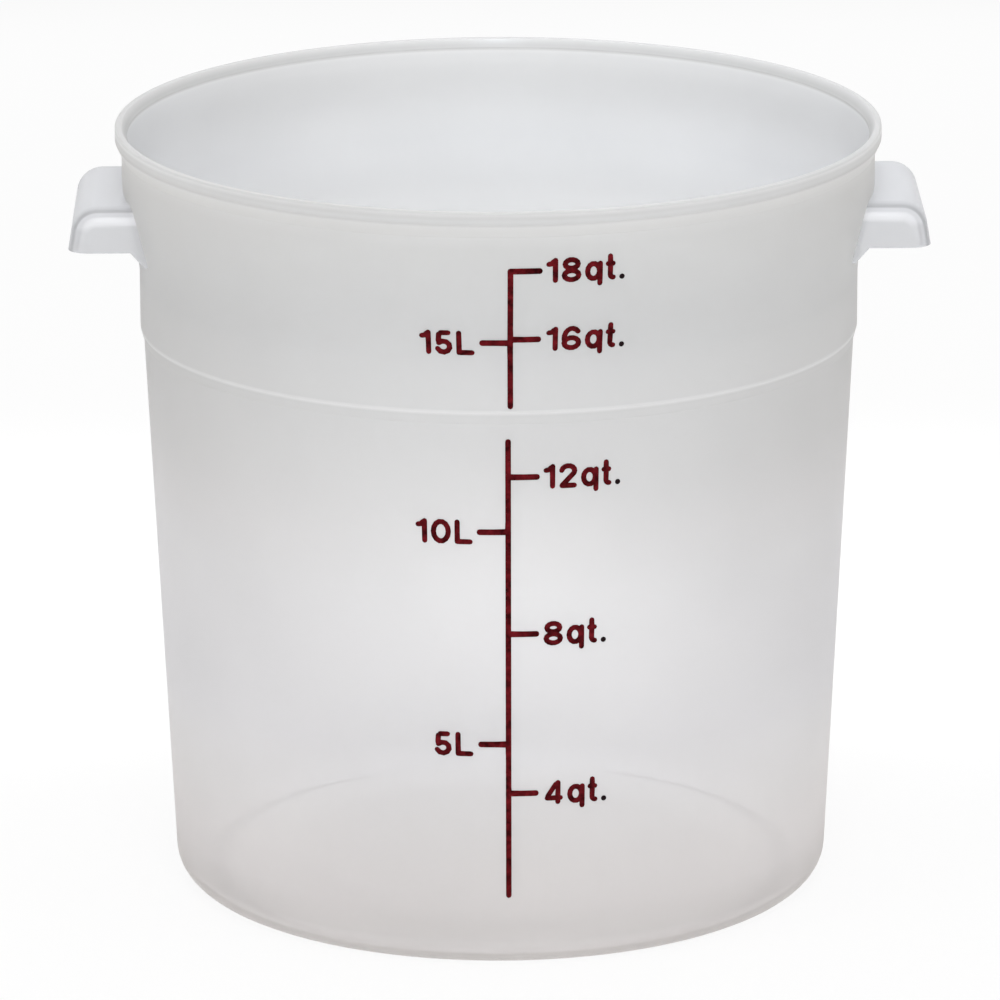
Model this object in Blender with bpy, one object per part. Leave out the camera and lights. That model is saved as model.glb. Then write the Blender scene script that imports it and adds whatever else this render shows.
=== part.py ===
"""Round food storage tub of about 18 quarts: one translucent moulding with two hooded grips
and a volume scale printed on its front.

Metres, +Z up. The origin is the centre of the base on the surface that the tub stands on.
The grips lie along X and the printed scale faces -Y.
"""

import math

import bmesh
import bpy
from mathutils import Vector

# Tub: heights from the base up, depths from the rim down.
# The rim's radius leads: the flare, the neck, the step and the draft say how much narrower the tub gets.
HEIGHT = 0.3130
RIM_RADIUS = 0.1535
RIM_WIDTH = 0.0027
RIM_ROUND = 0.0009
LIP_DEPTH = 0.0050
LIP_UNDERCUT_DEPTH = 0.0105
LIP_FLARE = 0.0026
COLLAR_DEPTH = 0.0215
NECK_NARROWING = 0.0065
BAND_DEPTH = 0.0605
STEP_DEPTH = 0.0818
STEP_HEIGHT = 0.0050
STEP_WIDTH = 0.0014
WALL_DRAFT = 0.0102
CORNER_RADIUS = 0.0124
WALL = 0.0023
FLOOR = 0.0028
FOOT_RING_WIDTH = 0.0100
FOOT_RECESS = 0.0008
FOOT_RECESS_SLOPE = 0.0010

# Grips: hoods open underneath, one on each side
GRIP_OVERHANG = 0.0182
GRIP_DRAFT = 0.0030
GRIP_LENGTH = 0.0810
GRIP_TOP_DEPTH = 0.0258
GRIP_HEIGHT = 0.0177
GRIP_WALL = 0.0026
GRIP_CORNER = 0.0105
GRIP_EDGE_ROUND = 0.0040
GRIP_INNER_ROUND = 0.0024
GRIP_ROOT = 0.0200
GUSSET_REACH = 0.0055
GUSSET_DROP = 0.0062
GUSSET_OVERLAP = 0.0020
CUT_OVERRUN = 0.0100

# Printed scale: film thickness and its clearance to the wall, then line and lettering sizes.
# Each part of the print is set off a little to the right of the middle between the grips.
INK_THICKNESS = 0.0003
INK_CLEARANCE = 0.0003
UPPER_PRINT_OFFSET = 0.0023
LOWER_PRINT_OFFSET = 0.0013
LINE_WIDTH = 0.0017
TICK_WIDTH = 0.0018
TICK_LENGTH = 0.0116
TICK_TO_LABEL = 0.0014
DIGIT_HEIGHT = 0.0098
STROKE_WIDTH = 0.00178
LETTER_GAP = 0.0017
TIGHT_LETTER_GAP = 0.0011
INK_STEP = 0.0065

# Facets
TUB_SEGMENTS = 80
NECK_STEPS = 6
CORNER_STEPS = 6
RIM_STEPS = 3
GRIP_STEPS = 5
EDGE_STEPS = 3
RING_POINTS = 14
ARC_POINTS = 8
END_POINTS = 4
SMOOTH_ANGLE = math.radians(28)
MERGE_DISTANCE = 0.00001
SAME_POINT_DIGITS = 8
LEAST_MITRE_SHARE = 0.5

# Heights on the scale: upper marks as shares of the wall above the step, lower marks of the wall below it
UPPER_MARK_SHARES = (("18qt.", "right", 0.709), ("16qt.", "right", 0.360), ("15L", "left", 0.344))
UPPER_LINE_END_SHARE = 0.033
LOWER_MARK_SHARES = (
    ("12qt.", "right", 0.905),
    ("10L", "left", 0.806),
    ("8qt.", "right", 0.620),
    ("5L", "left", 0.418),
    ("4qt.", "right", 0.327),
)
LOWER_LINE_TOP_SHARE = 0.969
LOWER_LINE_END_SHARE = 0.138

# Characters as shares of the digit height: width, then strokes along their centre lines.
# A stroke is a list of points; an arc is its centre, its two radii and its first and last angle.
GLYPH_SHARES = {
    "0": (0.78, [("ring", 0.39, 0.50, 0.30, 0.41)]),
    "1": (0.44, [("line", (0.35, 0.00), (0.35, 1.00)), ("line", (0.00, 0.74), (0.21, 0.78), (0.34, 0.93))]),
    "2": (
        0.72,
        [
            ("arc", 0.36, 0.70, 0.26, 0.21, 172, -28, (0.12, 0.11)),
            ("line", (0.03, 0.09), (0.70, 0.09)),
        ],
    ),
    "4": (
        0.78,
        [
            ("line", (0.56, 0.00), (0.56, 1.00)),
            ("line", (0.04, 0.26), (0.75, 0.26)),
            ("line", (0.11, 0.28), (0.53, 0.93)),
        ],
    ),
    "5": (
        0.68,
        [
            ("line", (0.14, 0.91), (0.61, 0.91)),
            ("line", (0.16, 0.93), (0.12, 0.48)),
            ("arc", 0.33, 0.32, 0.25, 0.23, 138, -158, None),
        ],
    ),
    "6": (
        0.76,
        [("ring", 0.38, 0.30, 0.29, 0.21), ("arc", 0.40, 0.50, 0.31, 0.41, 42, 205, None)],
    ),
    "8": (0.75, [("ring", 0.375, 0.28, 0.285, 0.19), ("ring", 0.375, 0.735, 0.255, 0.175)]),
    "L": (0.70, [("line", (0.09, 0.00), (0.09, 1.00)), ("line", (0.05, 0.09), (0.69, 0.09))]),
    "q": (0.70, [("ring", 0.33, 0.395, 0.24, 0.305), ("line", (0.60, -0.21), (0.60, 0.79))]),
    "t": (
        0.42,
        [
            ("arc", 0.33, 0.22, 0.13, 0.13, 268, 180, (0.20, 0.96)),
            ("line", (0.02, 0.66), (0.40, 0.66)),
        ],
    ),
    ".": (0.19, [("dot", 0.095, 0.095)]),
}
WORDS = {"0": "digit_0", "1": "digit_1", "2": "digit_2", "4": "digit_4", "5": "digit_5", "6": "digit_6"}
WORDS.update({"8": "digit_8", "L": "letter_L", "q": "letter_q", "t": "letter_t", ".": "stop"})

# Worked out from the values above
COLLAR_RADIUS = RIM_RADIUS - LIP_FLARE
BAND_RADIUS = COLLAR_RADIUS - NECK_NARROWING
STEP_FOOT_RADIUS = BAND_RADIUS - STEP_WIDTH
FOOT_WALL_RADIUS = STEP_FOOT_RADIUS - WALL_DRAFT
STEP_TOP = HEIGHT - STEP_DEPTH
STEP_FOOT = STEP_TOP - STEP_HEIGHT
GRIP_REACH = RIM_RADIUS + GRIP_OVERHANG
GRIP_TOP = HEIGHT - GRIP_TOP_DEPTH
GRIP_FOOT = GRIP_TOP - GRIP_HEIGHT


def clear_scene():
    for obj in list(bpy.data.objects):
        bpy.data.objects.remove(obj, do_unlink=True)


def material(name, colour, roughness, transmission=0.0):
    """A Principled BSDF of one colour; none of the pieces is metal."""
    made = bpy.data.materials.new(name)
    made.use_nodes = True
    shader = made.node_tree.nodes["Principled BSDF"]
    shader.inputs["Base Color"].default_value = (*colour, 1.0)
    shader.inputs["Roughness"].default_value = roughness
    shader.inputs["Metallic"].default_value = 0.0
    shader.inputs["Transmission Weight"].default_value = transmission
    made.diffuse_color = (*colour, 1.0)
    return made


def arc_points(centre, radius_a, radius_b, first, last, steps):
    """Points of an elliptical arc from one angle in degrees to another, both ends included."""
    points = []
    for i in range(steps + 1):
        angle = math.radians(first + (last - first) * i / steps)
        points.append((centre[0] + radius_a * math.cos(angle), centre[1] + radius_b * math.sin(angle)))
    return points


def smooth_share(share):
    """Ease from 0 to 1 with level ends, for the neck that narrows under the collar."""
    return share * share * (3 - 2 * share)


def neck_points(inset):
    """The narrowing wall between the collar and the band, (radius, height) from the top down."""
    points = []
    for i in range(NECK_STEPS + 1):
        share = i / NECK_STEPS
        depth = COLLAR_DEPTH + (BAND_DEPTH - COLLAR_DEPTH) * share
        radius = COLLAR_RADIUS + (BAND_RADIUS - COLLAR_RADIUS) * smooth_share(share)
        points.append((radius - inset, HEIGHT - depth))
    return points


def outer_outline():
    """The outside of the tub from the rim down to the flat of the foot ring."""
    rim_centre = (RIM_RADIUS - RIM_ROUND, HEIGHT - RIM_ROUND)
    points = arc_points(rim_centre, RIM_ROUND, RIM_ROUND, 90, 0, RIM_STEPS)
    points.append((RIM_RADIUS, HEIGHT - LIP_DEPTH))
    points.append((COLLAR_RADIUS, HEIGHT - LIP_UNDERCUT_DEPTH))
    points += neck_points(0)
    points.append((BAND_RADIUS, STEP_TOP))
    points.append((STEP_FOOT_RADIUS, STEP_FOOT))
    corner_centre = (FOOT_WALL_RADIUS - CORNER_RADIUS, CORNER_RADIUS)
    points += arc_points(corner_centre, CORNER_RADIUS, CORNER_RADIUS, 0, -90, CORNER_STEPS)
    return points


def inner_outline():
    """The inside of the tub from the flat of the floor up to the rim."""
    inner_corner = CORNER_RADIUS - WALL
    corner_centre = (FOOT_WALL_RADIUS - CORNER_RADIUS, FLOOR + inner_corner)
    points = arc_points(corner_centre, inner_corner, inner_corner, -90, 0, CORNER_STEPS)
    points.append((STEP_FOOT_RADIUS - WALL, STEP_FOOT))
    points.append((BAND_RADIUS - WALL, STEP_TOP))
    points += reversed(neck_points(WALL))
    points.append((COLLAR_RADIUS - WALL, HEIGHT - LIP_UNDERCUT_DEPTH))
    rim_centre = (RIM_RADIUS - RIM_WIDTH + RIM_ROUND, HEIGHT - RIM_ROUND)
    points += arc_points(rim_centre, RIM_ROUND, RIM_ROUND, 180, 90, RIM_STEPS)
    return points


def base_outline():
    """The underside from the foot ring in to the axis, with its shallow recess."""
    ring_inside = FOOT_WALL_RADIUS - CORNER_RADIUS - FOOT_RING_WIDTH
    return [(ring_inside, 0), (ring_inside - FOOT_RECESS_SLOPE, FOOT_RECESS), (0, FOOT_RECESS)]


def wall_radius(height):
    """The radius of the outer wall at a height, read along the outline."""
    outline = outer_outline()
    for (upper_radius, upper), (lower_radius, lower) in zip(outline, outline[1:]):
        if lower <= height <= upper and upper > lower:
            return lower_radius + (upper_radius - lower_radius) * (height - lower) / (upper - lower)
    return FOOT_WALL_RADIUS


def add_object(name, mesh):
    obj = bpy.data.objects.new(name, mesh)
    bpy.context.scene.collection.objects.link(obj)
    return obj


def make_helper(obj):
    """A cutter or a shape that is joined to another: not a piece by itself."""
    obj.hide_render = True
    obj.display_type = "WIRE"
    return obj


def turned(name, outline):
    """An outline of (radius, height) points, turned once round Z by a Screw modifier."""
    mesh = bpy.data.meshes.new(name)
    points = [(radius, 0, height) for radius, height in outline]
    mesh.from_pydata(points, [(i, i + 1) for i in range(len(points) - 1)], [])
    obj = add_object(name, mesh)
    screw = obj.modifiers.new("turn", "SCREW")
    screw.axis = "Z"
    screw.angle = math.tau
    screw.steps = TUB_SEGMENTS
    screw.render_steps = TUB_SEGMENTS
    screw.use_merge_vertices = True
    screw.merge_threshold = MERGE_DISTANCE
    return obj


def extruded(name, outline, low, high):
    """A prism with an outline of (x, z) points, running along Y from low to high."""
    shape = bmesh.new()
    corners = [shape.verts.new((x, low, z)) for x, z in outline]
    face = shape.faces.new(corners)
    sweep = bmesh.ops.extrude_face_region(shape, geom=[face])
    moved = [item for item in sweep["geom"] if isinstance(item, bmesh.types.BMVert)]
    bmesh.ops.translate(shape, verts=moved, vec=Vector((0, high - low, 0)))
    bmesh.ops.recalc_face_normals(shape, faces=shape.faces)
    mesh = bpy.data.meshes.new(name)
    shape.to_mesh(mesh)
    shape.free()
    return add_object(name, mesh)


def boolean(obj, other, operation):
    modifier = obj.modifiers.new(other.name, "BOOLEAN")
    modifier.operation = operation
    modifier.object = other
    modifier.solver = "EXACT"


def settle(obj, helpers=()):
    """Keeps the evaluated mesh as the object's own, and removes the helpers that shaped it."""
    graph = bpy.context.evaluated_depsgraph_get()
    mesh = bpy.data.meshes.new_from_object(obj.evaluated_get(graph))
    obj.modifiers.clear()
    obj.data = mesh
    for helper in helpers:
        bpy.data.objects.remove(helper, do_unlink=True)
    return obj


def shade(obj):
    obj.data.shade_smooth()
    obj.data.set_sharp_from_angle(angle=SMOOTH_ANGLE)


def grip_section(inset, root, foot):
    """The hood's section in XZ at +X: level top, rounded shoulder and a skirt that leans out."""
    corner = GRIP_CORNER - inset
    shoulder = (GRIP_REACH - GRIP_DRAFT - inset - corner, GRIP_TOP - inset - corner)
    points = [(root, foot), (root, GRIP_TOP - inset)]
    points += arc_points(shoulder, corner, corner, 90, 0, GRIP_STEPS)
    points.append((GRIP_REACH - inset, GRIP_FOOT))
    if foot < GRIP_FOOT:
        points.append((GRIP_REACH - inset, foot))
    return points


def rounded_hood(name, inset, root, foot, length, rounding):
    """A hood-shaped block whose two ends are rounded over along the top and the skirt."""
    block = extruded(name, grip_section(inset, root, foot), -length / 2, length / 2)
    shape = bmesh.new()
    shape.from_mesh(block.data)
    root_side = min(vertex.co.x for vertex in shape.verts)
    underside = min(vertex.co.z for vertex in shape.verts)
    rounded = []
    for edge in shape.edges:
        first, second = (vertex.co for vertex in edge.verts)
        on_root = first.x == second.x == root_side
        on_foot = first.z == second.z == underside
        if first.y == second.y and not on_root and not on_foot:
            rounded.append(edge)
    bmesh.ops.bevel(shape, geom=rounded, offset=rounding, segments=EDGE_STEPS, affect="EDGES", profile=0.5)
    shape.to_mesh(block.data)
    shape.free()
    return block


def gusset(name, side):
    """The small web that carries an end wall of the hood down into the tub's wall."""
    root = math.sqrt(wall_radius(GRIP_FOOT) ** 2 - (GRIP_LENGTH / 2) ** 2)
    outline = [
        (root - WALL, GRIP_FOOT - GUSSET_DROP),
        (root, GRIP_FOOT - GUSSET_DROP),
        (root + GUSSET_REACH, GRIP_FOOT),
        (root + GUSSET_REACH, GRIP_FOOT + GUSSET_OVERLAP),
        (root - WALL, GRIP_FOOT + GUSSET_OVERLAP),
    ]
    outside = side * GRIP_LENGTH / 2
    inside = side * (GRIP_LENGTH / 2 - GRIP_WALL)
    return extruded(name, outline, min(outside, inside), max(outside, inside))


def grip(name, turn):
    """One hooded grip, trimmed to start inside the tub's wall, turned to its side of the tub."""
    root = BAND_RADIUS - GRIP_ROOT
    hood = rounded_hood(name, 0, root, GRIP_FOOT, GRIP_LENGTH, GRIP_EDGE_ROUND)
    hollow = rounded_hood(
        "grip_hollow",
        GRIP_WALL,
        root - CUT_OVERRUN,
        GRIP_FOOT - CUT_OVERRUN,
        GRIP_LENGTH - 2 * GRIP_WALL,
        GRIP_INNER_ROUND,
    )
    front_gusset = gusset("gusset_front", -1)
    back_gusset = gusset("gusset_back", 1)
    trim = turned("grip_trim", trim_outline())
    boolean(hood, hollow, "DIFFERENCE")
    boolean(hood, front_gusset, "UNION")
    boolean(hood, back_gusset, "UNION")
    boolean(hood, trim, "DIFFERENCE")
    settle(hood, [hollow, front_gusset, back_gusset, trim])
    hood.rotation_euler.z = turn
    return make_helper(hood)


def trim_outline():
    """The middle of the wall turned round the axis: a grip is cut off inside the wall by it."""
    inner = [(radius + WALL / 2, height) for radius, height in reversed(inner_outline())]
    wall_only = [point for point in inner if HEIGHT - LIP_DEPTH > point[1] > FLOOR + CORNER_RADIUS]
    top = wall_only[0][1]
    foot = wall_only[-1][1]
    return [(0, top), *wall_only, (0, foot)]


def build_tub(finish):
    """The moulding: a turned shell with both grips joined to it."""
    outline = [(0, FLOOR), *inner_outline(), *outer_outline(), *base_outline()]
    tub = turned("tub", outline)
    grips = [grip("grip_right", 0), grip("grip_left", math.pi)]
    for side in grips:
        boolean(tub, side, "UNION")
    settle(tub, grips)
    tub.data.materials.clear()
    tub.data.materials.append(finish)
    shade(tub)
    return tub


def subdivided(points, step):
    """The same polyline with no stretch longer than a step, so that it can follow the wall."""
    dense = [points[0]]
    for (x, y), (next_x, next_y) in zip(points, points[1:]):
        pieces = max(1, math.ceil(math.hypot(next_x - x, next_y - y) / step))
        for i in range(1, pieces + 1):
            dense.append((x + (next_x - x) * i / pieces, y + (next_y - y) * i / pieces))
    return dense


def side_offsets(points, half, closed):
    """Left and right edge points of a stroke, mitred at each point of its centre line."""
    left, right = [], []
    count = len(points)
    for i, (x, y) in enumerate(points):
        before = points[i - 1] if closed or i > 0 else points[i]
        after = points[(i + 1) % count] if closed or i < count - 1 else points[i]
        incoming = Vector((x - before[0], y - before[1]))
        outgoing = Vector((after[0] - x, after[1] - y))
        incoming = incoming.normalized() if incoming.length else outgoing.normalized()
        outgoing = outgoing.normalized() if outgoing.length else incoming
        along = (incoming + outgoing).normalized()
        reach = half / max(along.dot(incoming), LEAST_MITRE_SHARE)
        left.append((x - along.y * reach, y + along.x * reach))
        right.append((x + along.y * reach, y - along.x * reach))
    return left, right


def round_end(tip, towards, half):
    """The points of a round stroke end, from its left side to its right side."""
    start = math.atan2(towards.x, -towards.y)
    points = []
    for i in range(1, END_POINTS):
        angle = start - math.pi * i / END_POINTS
        points.append((tip[0] + half * math.cos(angle), tip[1] + half * math.sin(angle)))
    return points


def flat_prism(name, faces):
    """A prism over flat faces that share their edges, as thick as the ink film."""
    shape = bmesh.new()
    known = {}
    for corners in faces:
        ring = []
        for x, y in corners:
            key = (round(x, SAME_POINT_DIGITS), round(y, SAME_POINT_DIGITS))
            known[key] = known.get(key) or shape.verts.new((x, y, 0))
            ring.append(known[key])
        shape.faces.new(ring)
    sweep = bmesh.ops.extrude_face_region(shape, geom=list(shape.faces))
    moved = [item for item in sweep["geom"] if isinstance(item, bmesh.types.BMVert)]
    bmesh.ops.translate(shape, verts=moved, vec=Vector((0, 0, INK_THICKNESS)))
    bmesh.ops.recalc_face_normals(shape, faces=shape.faces)
    mesh = bpy.data.meshes.new(name)
    shape.to_mesh(mesh)
    shape.free()
    return add_object(name, mesh)


def stroke(points, width, closed=False):
    """A flat stroke of one width along a centre line, with round ends unless it is a ring."""
    half = width / 2
    left, right = side_offsets(points, half, closed)
    faces = []
    count = len(points)
    for i in range(count if closed else count - 1):
        j = (i + 1) % count
        faces.append([left[i], right[i], right[j], left[j]])
    if not closed:
        first = Vector(points[0]) - Vector(points[1])
        last = Vector(points[-1]) - Vector(points[-2])
        faces.append([right[0], *round_end(points[0], first.normalized(), half), left[0]])
        faces.append([left[-1], *round_end(points[-1], last.normalized(), half), right[-1]])
    return flat_prism("stroke", faces)


def disc(centre, radius):
    """A flat round dot."""
    return flat_prism("dot", [arc_points(centre, radius, radius, 0, 360, RING_POINTS)[:-1]])


def glyph_stroke(kind, *values):
    """One stroke of a character, from its shares of the digit height."""
    size = DIGIT_HEIGHT
    if kind == "line":
        shares = list(values)
        first, last = Vector(shares[0]), Vector(shares[-1])
        trim = STROKE_WIDTH / 2 / size
        first += (Vector(shares[1]) - first).normalized() * trim
        last += (Vector(shares[-2]) - last).normalized() * trim
        points = [tuple(first), *shares[1:-1], tuple(last)]
        return stroke(subdivided([(x * size, y * size) for x, y in points], INK_STEP), STROKE_WIDTH)
    if kind == "ring":
        x, y, across, up = (value * size for value in values)
        return stroke(arc_points((x, y), across, up, 0, 360, RING_POINTS)[:-1], STROKE_WIDTH, True)
    if kind == "dot":
        return disc((values[0] * size, values[1] * size), values[0] * size)
    x, y, across, up = (value * size for value in values[:4])
    points = arc_points((x, y), across, up, values[4], values[5], ARC_POINTS)
    if values[6]:
        points.append((values[6][0] * size, values[6][1] * size))
    return stroke(points, STROKE_WIDTH)


def joined_flat(prisms):
    """One flat mesh from prisms that overlap."""
    base, *others = prisms
    for other in others:
        boolean(base, other, "UNION")
    settle(base, others)
    mesh = base.data
    bpy.data.objects.remove(base, do_unlink=True)
    return mesh


def printed(name, flat, across, height, finish):
    """A flat mesh laid round the wall at its clearance: across is the way round, height is up."""
    shape = bmesh.new()
    shape.from_mesh(flat)
    bmesh.ops.triangulate(shape, faces=shape.faces)
    around = wall_radius(height)
    for vertex in shape.verts:
        angle = (across + vertex.co.x) / around
        level = height + vertex.co.y
        radius = wall_radius(level) + INK_CLEARANCE + vertex.co.z
        vertex.co = (radius * math.sin(angle), -radius * math.cos(angle), level)
    mesh = bpy.data.meshes.new(name)
    shape.to_mesh(mesh)
    shape.free()
    mesh.materials.append(finish)
    obj = add_object(name, mesh)
    shade(obj)
    return obj


def letter_gap(following):
    return TIGHT_LETTER_GAP if following == "t" else LETTER_GAP


def label_width(text):
    widths = sum(GLYPH_SHARES[character][0] * DIGIT_HEIGHT for character in text)
    return widths + sum(letter_gap(character) for character in text[1:])


def build_label(text, side, offset, height, flats, inks):
    """The characters of one label, each its own film, level with its tick."""
    reach = LINE_WIDTH / 2 + TICK_LENGTH + TICK_TO_LABEL
    across = offset + reach if side == "right" else offset - reach - label_width(text)
    for place, character in enumerate(text):
        if place:
            across += letter_gap(character)
        finish = inks["stop"] if character == "." else inks["mark"]
        name = f"mark_{text.rstrip('.')}_{WORDS[character]}"
        printed(name, flats[character], across, height - DIGIT_HEIGHT / 2, finish)
        across += GLYPH_SHARES[character][0] * DIGIT_HEIGHT


def build_line(name, offset, top, end, marks, inks):
    """A vertical line of the scale joined with the ticks that branch from it."""
    upright = subdivided([(0, end - top), (0, 0)], INK_STEP)
    prisms = [stroke(upright, LINE_WIDTH)]
    for _, side, height in marks:
        tip = LINE_WIDTH / 2 + TICK_LENGTH
        tip = tip if side == "right" else -tip
        prisms.append(stroke(subdivided([(0, height - top), (tip, height - top)], INK_STEP), TICK_WIDTH))
    flat = joined_flat(prisms)
    printed(name, flat, offset, top, inks["mark"])


def build_scale(inks):
    """Both printed lines with their ticks, and the characters beside them."""
    flats = {}
    for character, (_, strokes) in GLYPH_SHARES.items():
        flats[character] = joined_flat([glyph_stroke(*values) for values in strokes])
    upper = [(text, side, STEP_TOP + STEP_DEPTH * share) for text, side, share in UPPER_MARK_SHARES]
    lower = [(text, side, STEP_FOOT * share) for text, side, share in LOWER_MARK_SHARES]
    upper_end = STEP_TOP + STEP_DEPTH * UPPER_LINE_END_SHARE
    build_line("scale_line_upper", UPPER_PRINT_OFFSET, upper[0][2], upper_end, upper, inks)
    lower_top = STEP_FOOT * LOWER_LINE_TOP_SHARE
    lower_end = STEP_FOOT * LOWER_LINE_END_SHARE
    build_line("scale_line_lower", LOWER_PRINT_OFFSET, lower_top, lower_end, lower, inks)
    for offset, marks in ((UPPER_PRINT_OFFSET, upper), (LOWER_PRINT_OFFSET, lower)):
        for text, side, height in marks:
            build_label(text, side, offset, height, flats, inks)


def main():
    clear_scene()
    build_tub(material("translucent_polypropylene", (0.80, 0.81, 0.81), 0.35, 0.3))
    inks = {
        "mark": material("maroon_ink", (0.20, 0.012, 0.018), 0.45),
        "stop": material("dark_ink", (0.02, 0.012, 0.014), 0.45),
    }
    build_scale(inks)


main()
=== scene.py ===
# %% [markdown]
# # A translucent food storage tub
#
# The real object is one moulding of milky polypropylene with a volume scale printed on its
# front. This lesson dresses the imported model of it. The moulding is rebuilt as a fine shell
# with real fillets, the print is laid on the shell as thin ink, and both get materials made
# of nodes. The model itself stays as it is, because it holds the sizes.
#
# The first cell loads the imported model. Everything below is in metres, with Z up, the grips
# along X and the printed scale facing -Y.

# %% Load the frame
import math

import bmesh
import bpy
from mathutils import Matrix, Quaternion, Vector


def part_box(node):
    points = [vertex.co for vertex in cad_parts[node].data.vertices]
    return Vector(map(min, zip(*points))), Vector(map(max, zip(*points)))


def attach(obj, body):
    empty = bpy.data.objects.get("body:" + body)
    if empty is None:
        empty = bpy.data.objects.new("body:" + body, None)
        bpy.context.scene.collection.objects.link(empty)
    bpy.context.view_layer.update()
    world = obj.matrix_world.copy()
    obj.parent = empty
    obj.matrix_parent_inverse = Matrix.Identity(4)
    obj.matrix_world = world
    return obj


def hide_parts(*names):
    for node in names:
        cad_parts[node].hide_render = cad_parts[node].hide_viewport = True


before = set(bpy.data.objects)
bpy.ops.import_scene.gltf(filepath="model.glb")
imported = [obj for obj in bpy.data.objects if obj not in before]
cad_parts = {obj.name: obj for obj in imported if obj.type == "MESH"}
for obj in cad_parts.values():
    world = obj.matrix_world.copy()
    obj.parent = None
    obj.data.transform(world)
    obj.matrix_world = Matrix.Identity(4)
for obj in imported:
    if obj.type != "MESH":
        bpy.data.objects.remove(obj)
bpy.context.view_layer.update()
tub_low, tub_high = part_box("tub")
HEIGHT = tub_high.z
RIM_RADIUS = tub_high.y
GRIP_REACH = tub_high.x
print(f"tub {HEIGHT:.4f} high, rim radius {RIM_RADIUS:.4f}, reach of a grip {GRIP_REACH:.4f}")

# %% [markdown]
# ## The camera and the stage
#
# The photograph is a long-lens product shot, taken about three metres away from a little above
# the rim. A lens of 285 mm on a 36 mm sensor draws the rim, the base and both grips in the same
# perspective. The camera could be aimed with a Track To constraint, but a quaternion keeps the
# small roll that the photograph has.

# %% Place the camera
CAMERA_AZIMUTH = math.radians(-0.85)
CAMERA_ELEVATION = math.radians(16.02)
CAMERA_DISTANCE = 3.2126
CAMERA_ROLL = math.radians(0.19)
CAMERA_LENS = 284.8
CAMERA_SHIFT = 0.0006
AIM_HEIGHT = 0.1549

camera = bpy.data.objects.new("camera", bpy.data.cameras.new("camera"))
bpy.context.scene.collection.objects.link(camera)
bpy.context.scene.camera = camera
back = Vector(
    (
        math.sin(CAMERA_AZIMUTH) * math.cos(CAMERA_ELEVATION),
        -math.cos(CAMERA_AZIMUTH) * math.cos(CAMERA_ELEVATION),
        math.sin(CAMERA_ELEVATION),
    )
)
camera.location = Vector((0, 0, AIM_HEIGHT)) + back * CAMERA_DISTANCE
camera.rotation_mode = "QUATERNION"
roll = Quaternion((0, 0, 1), -CAMERA_ROLL)
camera.rotation_quaternion = (-back).to_track_quat("-Z", "Y") @ roll
camera.data.lens = CAMERA_LENS
camera.data.sensor_width = 36
camera.data.shift_x = CAMERA_SHIFT
camera.data.clip_end = 50
print("camera at", [round(value, 3) for value in camera.location])

# %% [markdown]
# ## Node helpers
#
# Each material and the world is a small tree of nodes. Three helpers keep the cells short: one
# clears a tree, one adds a node with its values, and one links two sockets.

# %% Helpers for node trees
def fresh_tree(owner):
    """The emptied node tree of a material or a world."""
    owner.use_nodes = True
    owner.node_tree.nodes.clear()
    return owner.node_tree


def add_node(tree, kind, values=(), **settings):
    """A node with some of its sockets and settings filled in."""
    node = tree.nodes.new(kind)
    for name, value in settings.items():
        setattr(node, name, value)
    for name, value in dict(values).items():
        node.inputs[name].default_value = value
    return node


def link(tree, output, socket):
    """Joins the output of one node to a socket of another."""
    tree.links.new(output, socket)


# %% [markdown]
# ## White surroundings
#
# The photograph has a pure white background. It comes from Light Path and not from more light:
# rays from the camera, and rays that a glossy or clear surface sends on, see a white of strength
# 1, while the tub is lit by a softer grey sky.
#
# Two kinds of ray must not see that white. Light that a Translucent shader scatters counts as a
# transmission ray and as a diffuse ray at once, so diffuse rays are taken out. A look through the
# plastic at the table has passed a Transparent shader, so its Transparent Depth is above zero. It
# sees the table as the lamps light it, which puts a real glow behind the tub.

# %% World
SKY_STRENGTH = 0.45
SKY_COLOUR = (1.0, 1.0, 1.0, 1)


def join(tree, operation, first, second):
    """A Math node of two inputs, each a socket or a number."""
    node = add_node(tree, "ShaderNodeMath", operation=operation)
    for i, value in enumerate((first, second)):
        if isinstance(value, float):
            node.inputs[i].default_value = value
        else:
            link(tree, value, node.inputs[i])
    return node.outputs[0]


def background_rays(tree):
    """1 for rays that look straight at the background, 0 for those that carry its light."""
    path = add_node(tree, "ShaderNodeLightPath").outputs
    looks = join(tree, "MAXIMUM", path["Is Camera Ray"], path["Is Glossy Ray"])
    looks = join(tree, "MAXIMUM", looks, path["Is Transmission Ray"])
    scattered = join(tree, "MAXIMUM", path["Is Diffuse Ray"], path["Transparent Depth"])
    return join(tree, "MULTIPLY", looks, join(tree, "LESS_THAN", scattered, 0.5))


world = bpy.data.worlds.new("studio")
bpy.context.scene.world = world
tree = fresh_tree(world)
sky = add_node(tree, "ShaderNodeBackground", {"Color": SKY_COLOUR, "Strength": SKY_STRENGTH})
white = add_node(tree, "ShaderNodeBackground", {"Color": (1, 1, 1, 1)})
mix = add_node(tree, "ShaderNodeMixShader")
link(tree, background_rays(tree), mix.inputs[0])
link(tree, sky.outputs[0], mix.inputs[1])
link(tree, white.outputs[0], mix.inputs[2])
link(tree, mix.outputs[0], add_node(tree, "ShaderNodeOutputWorld").inputs[0])
print("sky strength", SKY_STRENGTH)

# %% [markdown]
# ## The table
#
# A plain matt plane. For rays that look at the background most of it is the same white, and the
# small matt share keeps the shadow of the tub.

# %% Floor
FLOOR_WHITE_SHARE = 0.88
FLOOR_SIZE = 30.0

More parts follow.
